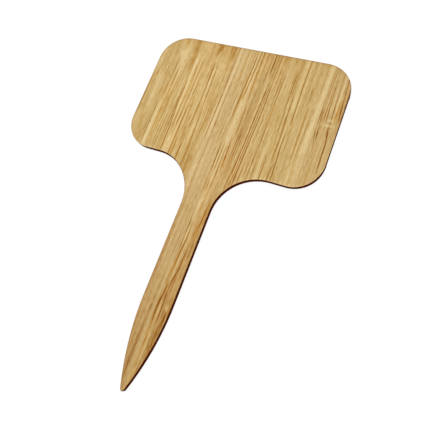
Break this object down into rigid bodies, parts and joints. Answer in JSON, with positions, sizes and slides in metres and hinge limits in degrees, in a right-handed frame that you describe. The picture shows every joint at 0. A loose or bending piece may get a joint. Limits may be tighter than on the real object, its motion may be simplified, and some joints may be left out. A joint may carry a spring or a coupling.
{
  "type": "plant label stake",
  "caption": "Flat T-shaped plant label: a broad rounded writing head on a narrow stem that tapers to a point for pushing into soil, cut from edge-glued bamboo board.",
  "frame": {"origin": "centre of the label's outline on the surface that it lies on, at its back face", "axes": "+Y from the tip towards the head, +X to the right as the front face is read, +Z out of the front face"},
  "size_m": [0.06, 0.1012, 0.0015],
  "materials": {
    "bamboo": "fine sanded bare bamboo, straight grain, laser-darkened cut edge",
    "cured_glue": "hard cured wood glue, honey brown, sanded flush"
  },
  "bodies": {
    "root": {"bamboo_strip_left_5": "bamboo", "bamboo_strip_left_4": "bamboo", "bamboo_strip_left_3": "bamboo", "bamboo_strip_left_2": "bamboo", "bamboo_strip_left_1": "bamboo", "bamboo_strip_right_1": "bamboo", "bamboo_strip_right_2": "bamboo", "bamboo_strip_right_3": "bamboo", "bamboo_strip_right_4": "bamboo", "bamboo_strip_right_5": "bamboo", "glue_line_left_4": "cured_glue", "glue_line_left_3": "cured_glue", "glue_line_left_2": "cured_glue", "glue_line_left_1": "cured_glue", "glue_line_middle": "cured_glue", "glue_line_right_1": "cured_glue", "glue_line_right_2": "cured_glue", "glue_line_right_3": "cured_glue", "glue_line_right_4": "cured_glue"}
  },
  "joints": []
}
